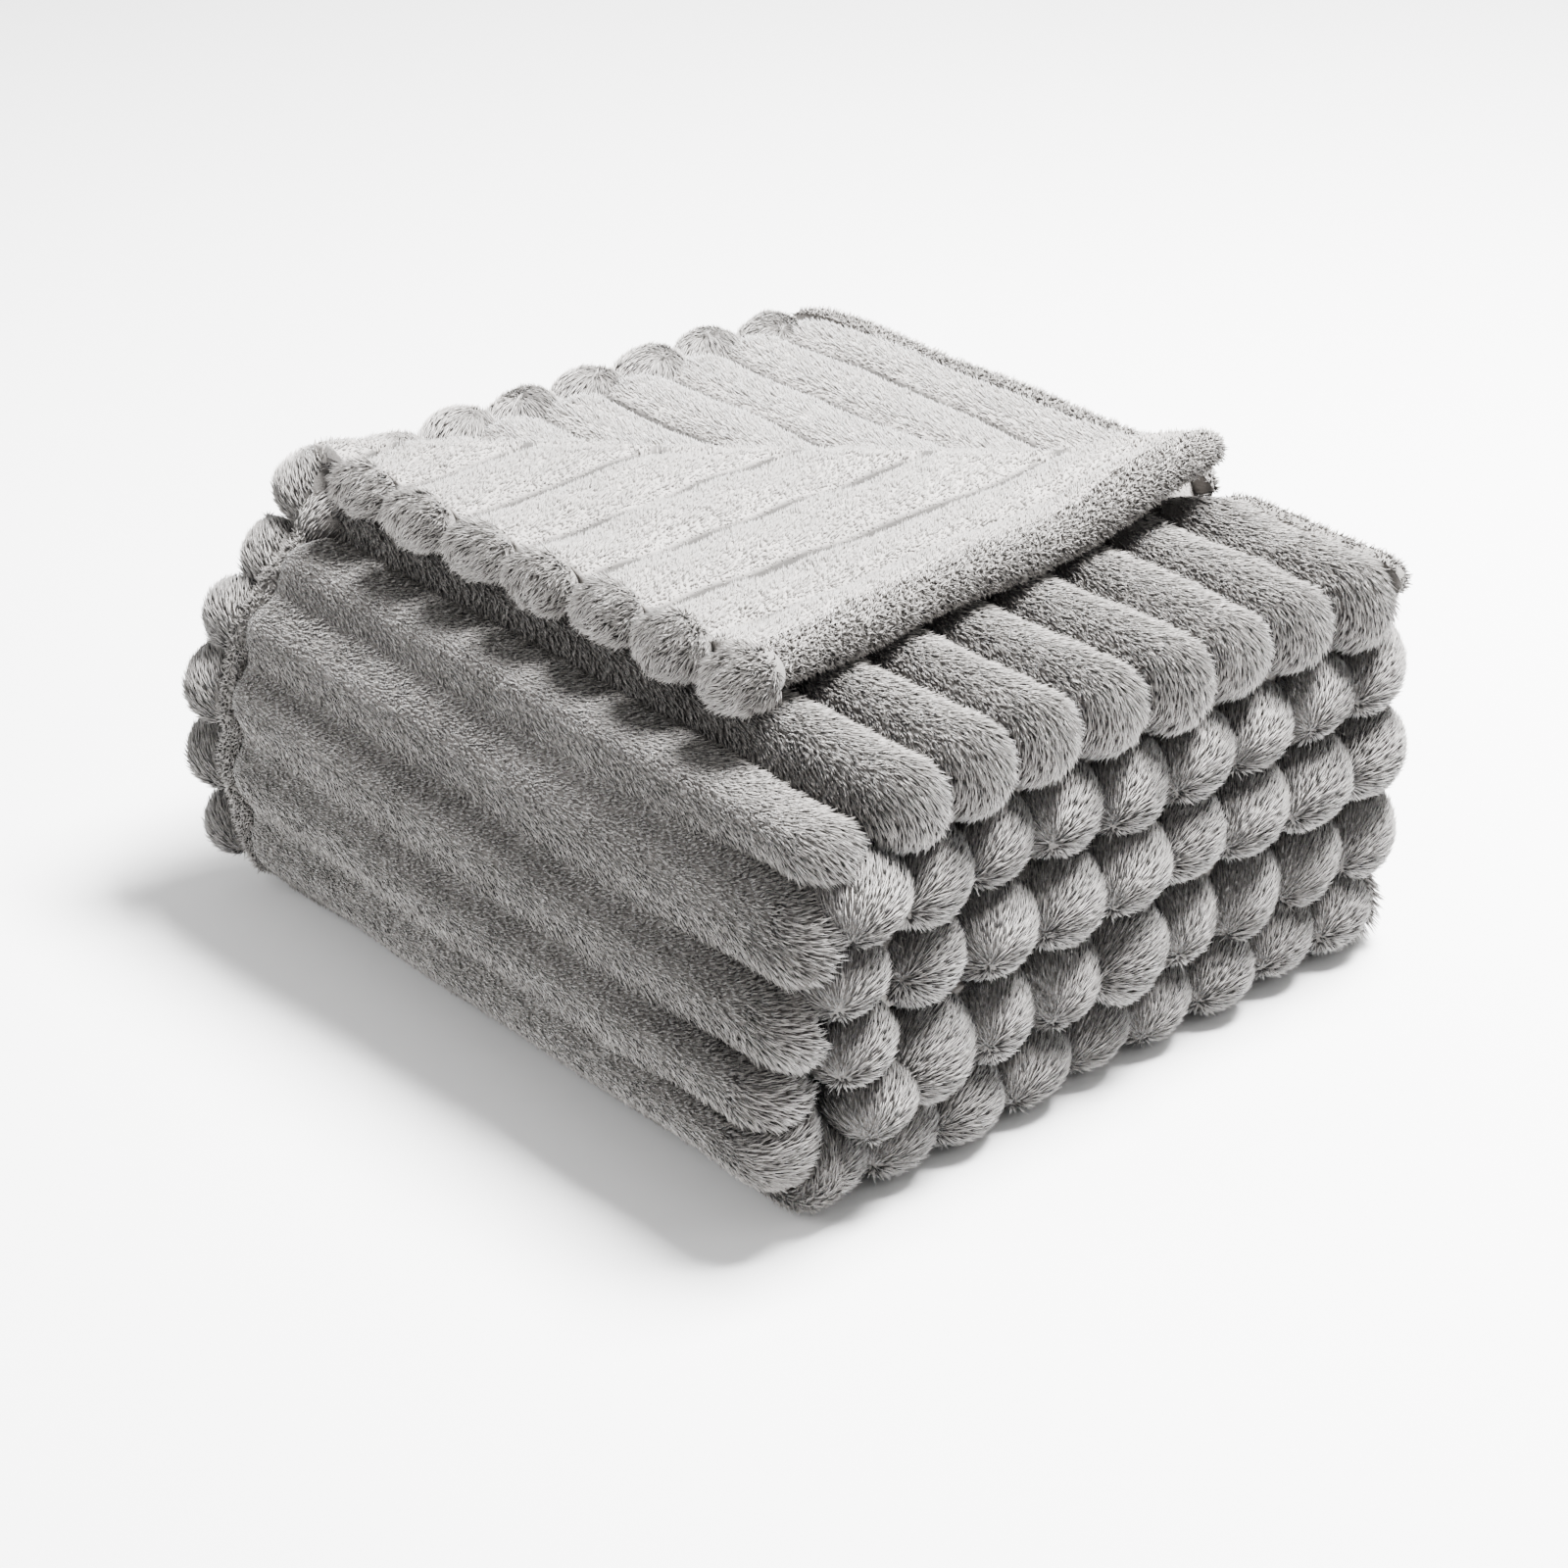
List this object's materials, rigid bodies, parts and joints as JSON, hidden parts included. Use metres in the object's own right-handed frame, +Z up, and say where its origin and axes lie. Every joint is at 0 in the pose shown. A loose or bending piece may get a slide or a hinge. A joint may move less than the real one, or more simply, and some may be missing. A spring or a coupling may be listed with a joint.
{
  "type": "folded throw blanket",
  "caption": "Folded plush throw blanket with wide puffy ribs, a smooth reverse, rounded fold ends and one corner of the top ply turned over.",
  "frame": {"origin": "centre of the bounding box on the surface the blanket lies on", "axes": "+X along the ribs towards the end with the rows of fold caps, +Y across the ribs away from the big side turn, +Z up"},
  "size_m": [0.396, 0.3566, 0.2087],
  "materials": {
    "ribbed_plush": "long soft pile on padded ribs",
    "smooth_plush": "brushed plush reverse with stitched seam lines",
    "hem_plush": "short curly pile on a rolled hem"
  },
  "bodies": {
    "lower_folds": {"bottom_fold_cap": "ribbed_plush", "bottom_inner_end_hem": "ribbed_plush", "bottom_inner_fold": "ribbed_plush", "bottom_outer_end_hem": "ribbed_plush", "bottom_outer_ply_backing": "smooth_plush", "bottom_outer_ply_face": "ribbed_plush", "bottom_second_ply_backing": "smooth_plush", "bottom_second_ply_face": "ribbed_plush", "bottom_third_ply_backing": "smooth_plush", "bottom_third_ply_face": "ribbed_plush", "far_wrap_rib_1": "ribbed_plush", "far_wrap_rib_2": "ribbed_plush", "far_wrap_rib_3": "ribbed_plush", "inner_wrap_lower": "ribbed_plush", "middle_fold_cap": "ribbed_plush", "middle_inner_end_hem": "ribbed_plush", "middle_inner_fold": "ribbed_plush", "middle_long_hem": "hem_plush", "middle_outer_end_hem": "ribbed_plush", "middle_outer_ply_backing": "smooth_plush", "middle_outer_ply_face": "ribbed_plush", "middle_second_ply_backing": "smooth_plush", "middle_second_ply_face": "ribbed_plush", "middle_third_ply_backing": "smooth_plush", "middle_third_ply_face": "ribbed_plush", "side_wrap_lower_backing": "smooth_plush", "side_wrap_lower_face": "ribbed_plush"},
    "top_fold": {"inner_wrap_upper": "ribbed_plush", "side_wrap_upper_backing": "smooth_plush", "side_wrap_upper_face": "ribbed_plush", "top_fold_cap": "ribbed_plush", "top_inner_end_hem": "ribbed_plush", "top_inner_fold": "ribbed_plush", "top_outer_end_hem": "ribbed_plush", "top_outer_long_hem": "hem_plush", "top_outer_ply_backing": "smooth_plush", "top_outer_ply_face": "ribbed_plush", "top_second_long_hem": "hem_plush", "top_second_ply_backing": "smooth_plush", "top_second_ply_face": "ribbed_plush", "top_third_long_hem": "hem_plush", "top_third_ply_backing": "smooth_plush", "top_third_ply_face": "ribbed_plush"},
    "corner_flap": {"corner_flap_backing": "smooth_plush", "corner_flap_end_hem": "ribbed_plush", "corner_flap_face": "ribbed_plush", "corner_flap_long_hem": "hem_plush"}
  },
  "joints": [
    {"name": "top_fold_open", "type": "hinge", "parent": "lower_folds", "child": "top_fold", "pos_m": [0, -0.1783, 0.114], "axis": [1, 0, 0], "range_deg": [0, 180]},
    {"name": "corner_turn", "type": "hinge", "parent": "top_fold", "child": "corner_flap", "pos_m": [-0.198, -0.128, 0.18985], "axis": [-0.7071, -0.7071, 0], "range_deg": [0, 180]}
  ]
}
